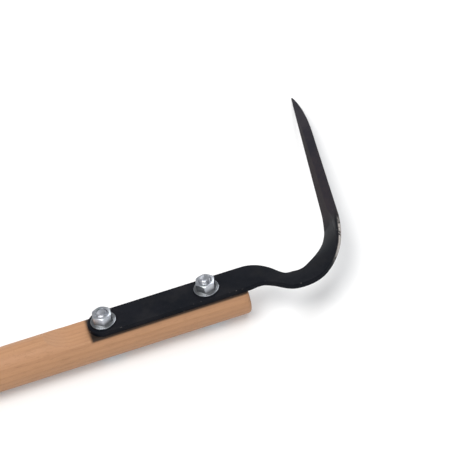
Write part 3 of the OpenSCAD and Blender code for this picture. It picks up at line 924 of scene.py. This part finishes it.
def thread_tree():
    """Cuts a thread on what lies between From and To, outside the core and within Reach of the axis."""
    tree, size = new_tree("cut_thread", {
        "Axis X": 0.0, "Pitch": 1.25, "Crest radius": 4.0, "Depth": 0.7, "From": 0.0, "To": 10.0,
        "Fade": 1.5, "Reach": 5.0, "Inside": 0.0}, "Geometry")
    from_origin, y, z = split(put(tree, "GeometryNodeInputPosition"))
    x = from_origin - size["Axis X"]
    radius = (x * x + y * y).math("SQRT")
    turn = z / size["Pitch"] - y.math("ARCTAN2", x) / (2 * math.pi)
    off_groove = (turn - turn.math("FLOOR")) * 2.0 - 1.0
    groove = ((off_groove.math("ABSOLUTE") - 0.14) * 1.5).clamped()
    fade = ((z - size["From"]) / size["Fade"]).clamped()
    helix = size["Crest radius"] - size["Depth"] * groove * fade
    wanted = mixed(radius.math("MINIMUM", helix), radius.math("MAXIMUM", helix), size["Inside"])
    chosen = (z > size["From"]) * (1.0 - (z > size["To"])) * (1.0 - (radius > size["Reach"])) \
        * (radius > CORE_R)
    share = mixed(1.0, wanted / radius.math("MAXIMUM", 0.01), chosen)
    moved = joined(tree, x * share + size["Axis X"], y * share, z)
    placed = put(tree, "GeometryNodeSetPosition", {"Geometry": size["Geometry"], "Position": moved})
    return end_tree(tree, placed, size["Material"])


THREAD = thread_tree()
print("thread tree written")

# %% [markdown]
# ## Coach bolts
#
# A coach bolt has a low domed head and a square neck that keeps it from turning in the wood. Both could be
# separate solids pushed together. Here one outline is turned all the way, and in the neck its radius
# changes with the angle, which makes the square, so the bolt is one closed skin.

# %% Make the bolts
BOLT_R, NUT_H, END_CHAMFER, PITCH, THREAD_L = 4.0, 8.0, 0.9, 1.25, 22.0
BOLT_GROOVE, NUT_GROOVE, THREAD_FADE = 0.74, 0.68, 1.5
DOME_R = (HEAD_D ** 2 / 4 + HEAD_H ** 2) / (2 * HEAD_H)


def coach_bolt(name, x, proud):
    """A bolt whose end stands proud of its nut by so much."""
    end = NUT_Z + NUT_H + proud
    thread_from = end - THREAD_L
    widest = math.asin((HEAD_D / 2 - 0.25) / DOME_R)
    dome = [(DOME_R * math.sin(a), HEAD_Z - HEAD_H + DOME_R * (1 - math.cos(a)))
            for a in np.linspace(0, widest, 22)]
    rim = [(HEAD_D / 2 - inward, HEAD_Z - down) for inward, down in ((0.08, 0.28), (0.02, 0.14), (0.12, 0))]
    square = square_radius(SQUARE_W, NECK_CORNER_R)
    neck = [(square + 0.3, HEAD_Z), (square, HEAD_Z + 0.3), (square, HEAD_Z + SQUARE_L - 0.5),
            (np.minimum(square, BOLT_R + 0.5), HEAD_Z + SQUARE_L), (BOLT_R, HEAD_Z + SQUARE_L)]
    shank = [(BOLT_R, z) for z in np.arange(thread_from, end - END_CHAMFER, PITCH / 10)]
    point = [(BOLT_R - END_CHAMFER * t, end - END_CHAMFER * (1 - t)) for t in np.linspace(0, 1, 8)]
    tip = [(2.4, end), (1.9, end - 0.12), (0.0, end - 0.2)]
    bolt = turned(name, [*dome, *rim, *neck, *shank, *point, *tip], x)
    run_tree(bolt, THREAD, {"Axis X": float(x), "Pitch": PITCH, "Crest radius": BOLT_R, "Depth": BOLT_GROOVE,
                            "From": thread_from, "To": end + 1.0, "Fade": THREAD_FADE, "Reach": 5.0,
                            "Inside": 0.0, "Material": BOLT_ZINC})
    return lay_down(bolt, 38)


FRONT_BOLT = coach_bolt("front_coach_bolt", 0, 3.0)
REAR_BOLT = coach_bolt("rear_coach_bolt", REAR_X, 0.6)

# %% [markdown]
# ## Flange nuts
#
# A flange nut is a hexagon on a cone, with its upper corners turned off. Cutting a prism with a cone gives
# ragged curves where they meet. Instead every column round the nut has its own outline: the hexagon's
# radius at that angle says how high the cone of the flange climbs before it meets the flat, and where the
# chamfer starts. Both curves come out exact, and the nut is one closed skin with its threaded bore.

# %% Make the nuts
NUT_FLATS, NUT_CORNER_R, NUT_BORE_R, NUT_MOUTH_R, NUT_COLUMNS = 13.0, 7.32, 3.36, 4.5, 144
FLANGE_R, FLANGE_RIM, FLANGE_RISE, NUT_CHAMFER_ANGLE = 8.95, 1.2, 1.3, math.radians(30)


def flange_nut(name, x, turn):
    """A nut at x, with its hexagon turned by so many degrees."""
    angles = np.arange(NUT_COLUMNS) * 2 * math.pi / NUT_COLUMNS
    phase = (angles - math.radians(turn)) % (math.pi / 3) - math.pi / 6
    hexagon = np.minimum(NUT_FLATS / 2 / np.cos(phase), NUT_CORNER_R)
    flange_top = NUT_FLATS / 2 - 1.0
    slope = FLANGE_RISE / (FLANGE_R - flange_top)
    foot = NUT_Z + FLANGE_RIM + (FLANGE_R - 0.25 - hexagon) * slope
    face_r = NUT_FLATS / 2 - 0.35
    top = NUT_Z + NUT_H
    shoulder = top - (hexagon - face_r) * math.tan(NUT_CHAMFER_ANGLE)
    bore, mouth = NUT_BORE_R, NUT_MOUTH_R
    outline = [
        (FLANGE_R - 0.35, NUT_Z), (FLANGE_R - 0.1, NUT_Z + 0.1), (FLANGE_R, NUT_Z + 0.35),
        (FLANGE_R, NUT_Z + FLANGE_RIM - 0.3), (FLANGE_R - 0.08, NUT_Z + FLANGE_RIM - 0.08),
        (FLANGE_R - 0.3, NUT_Z + FLANGE_RIM + 0.03), (hexagon + 0.35, foot - 0.35 * slope),
        (hexagon + 0.1, foot + 0.08), (hexagon, foot + 0.4), (hexagon, shoulder - 0.12),
        (hexagon - 0.04, shoulder + 0.02), (face_r + 0.15, top - 0.1), (face_r - 0.1, top),
        (mouth + 0.1, top), (mouth, top - 0.06), (bore, top - (mouth - bore) - 0.06),
    ]
    outline += [(bore, z) for z in np.arange(top - 1.4, NUT_Z + 1.2, -PITCH / 10)]
    outline += [(bore, NUT_Z + mouth - bore), (mouth, NUT_Z), (mouth + 2.0, NUT_Z)]
    nut = turned(name, outline, x, NUT_COLUMNS, looped=True)
    run_tree(nut, THREAD, {"Axis X": float(x), "Pitch": PITCH, "Crest radius": BOLT_R + 0.03,
                           "Depth": NUT_GROOVE, "From": NUT_Z - 1.0, "To": top + 1.0, "Fade": 0.01,
                           "Reach": 4.45, "Inside": 1.0, "Material": NUT_ZINC})
    return lay_down(nut, 24)


FRONT_NUT = flange_nut("front_flange_nut", 0, 14)
REAR_NUT = flange_nut("rear_flange_nut", REAR_X, 23)

# %% [markdown]
# ## Who stands for what
#
# Nothing on this tool moves, so every piece rides on the one body. Each piece hides the CAD node it stands
# for, and the finish it takes is printed beside it.

# %% Ride and replace
for piece, node, slot in (
        (POLE, "handle", "handle_wood"), (STRIP, "cutter", "black_paint"),
        (FRONT_BOLT, "front_bolt", "zinc_bolt"), (REAR_BOLT, "rear_bolt", "zinc_bolt"),
        (FRONT_NUT, "front_nut", "zinc_nut"), (REAR_NUT, "rear_nut", "zinc_nut")):
    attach(piece, "root")
    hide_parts(node)
    print(piece.name, "stands for", node, "in", slot)

# %% [markdown]
# ## Floor, light and camera
#
# The floor is plain and nearly white. It is lit like the tool, so it keeps the tool's soft shadow, and only
# what the camera and reflections see of it is lifted a little, to the white of a studio sweep. Three large
# soft lamps stand round it: a key from the left, a weaker one from behind and a faint one low in front.
#
# The camera looks down on the hook at 47 degrees from the side of the bolts, through a long lens, turned
# about its own axis so that the pole runs down to the left of the picture.

# %% Floor and world
FLOOR_REACH, FLOOR_GRAY, FLOOR_LIFT, SKY_STRENGTH = 40.0, 0.82, 0.14, 0.48


def studio_floor():
    mesh = bpy.data.meshes.new("floor")
    corners = [(x * FLOOR_REACH, y * FLOOR_REACH, 0) for x, y in ((-1, -1), (1, -1), (1, 1), (-1, 1))]
    mesh.from_pydata(corners, [], [(0, 1, 2, 3)])
    floor = new_object("floor", mesh)
    material = bpy.data.materials.new("pale_floor")
    material.use_nodes = True
    tree = material.node_tree
    tree.nodes.clear()
    path = tree.nodes.new("ShaderNodeLightPath")
    camera, glossy, through = (Value(tree, path.outputs[f"Is {kind} Ray"])
                               for kind in ("Camera", "Glossy", "Transmission"))
    seen = camera.math("MAXIMUM", glossy).math("MAXIMUM", through)
    lit = put(tree, "ShaderNodeBsdfDiffuse", {"Color": (FLOOR_GRAY, FLOOR_GRAY, FLOOR_GRAY, 1)})
    lift = put(tree, "ShaderNodeEmission", {"Strength": seen * FLOOR_LIFT})
    both = put(tree, "ShaderNodeAddShader", {0: lit, 1: lift})
    feed(tree, tree.nodes.new("ShaderNodeOutputMaterial").inputs["Surface"], both)
    mesh.materials.append(material)


studio_floor()
world = bpy.data.worlds.new("studio")
bpy.context.scene.world = world
world.use_nodes = True
sky = world.node_tree.nodes["Background"]
sky.inputs["Color"].default_value = (0.97, 0.98, 1.0, 1)
sky.inputs["Strength"].default_value = SKY_STRENGTH
print("world strength", SKY_STRENGTH)

# %% Lamps
AIM = Vector((AXIS.x + 0.03, AXIS.y + 0.07, 0.02))


def soft_lamp(name, offset, size, power, colour=(1, 1, 1)):
    """A square area lamp at an offset from the hook, turned to face it."""
    data = bpy.data.lights.new(name, "AREA")
    data.shape, data.size, data.energy, data.color = "SQUARE", size, power, colour
    lamp = new_object(name, data)
    lamp.location = AIM + Vector(offset)
    lamp.rotation_euler = (-Vector(offset)).to_track_quat("-Z", "Y").to_euler()


soft_lamp("key", (-1.2, -0.5, 2.9), 2.2, 72, (1.0, 0.99, 0.97))
soft_lamp("fill", (1.6, 1.8, 2.2), 1.8, 42, (0.96, 0.98, 1.0))
soft_lamp("front", (0.4, -2.6, 1.5), 1.4, 14)

# %% Camera
LENS = 125.81
CAMERA_AT = Vector((0.41147, -0.79966, 0.85732))
LOOK = Matrix(((0.94739, 0.2948, -0.12464), (-0.29868, 0.67437, -0.67529), (-0.11503, 0.67699, 0.72695)))

view = bpy.data.cameras.new("photo_view")
view.lens, view.sensor_width, view.clip_end = LENS, 36.0, 200.0
eye = new_object("photo_view", view)
eye.matrix_world = Matrix.Translation(CAMERA_AT) @ LOOK.to_4x4()
bpy.context.scene.camera = eye
bpy.context.scene.view_settings.view_transform = "Standard"
print("camera", [round(v, 3) for v in CAMERA_AT], "lens", LENS)
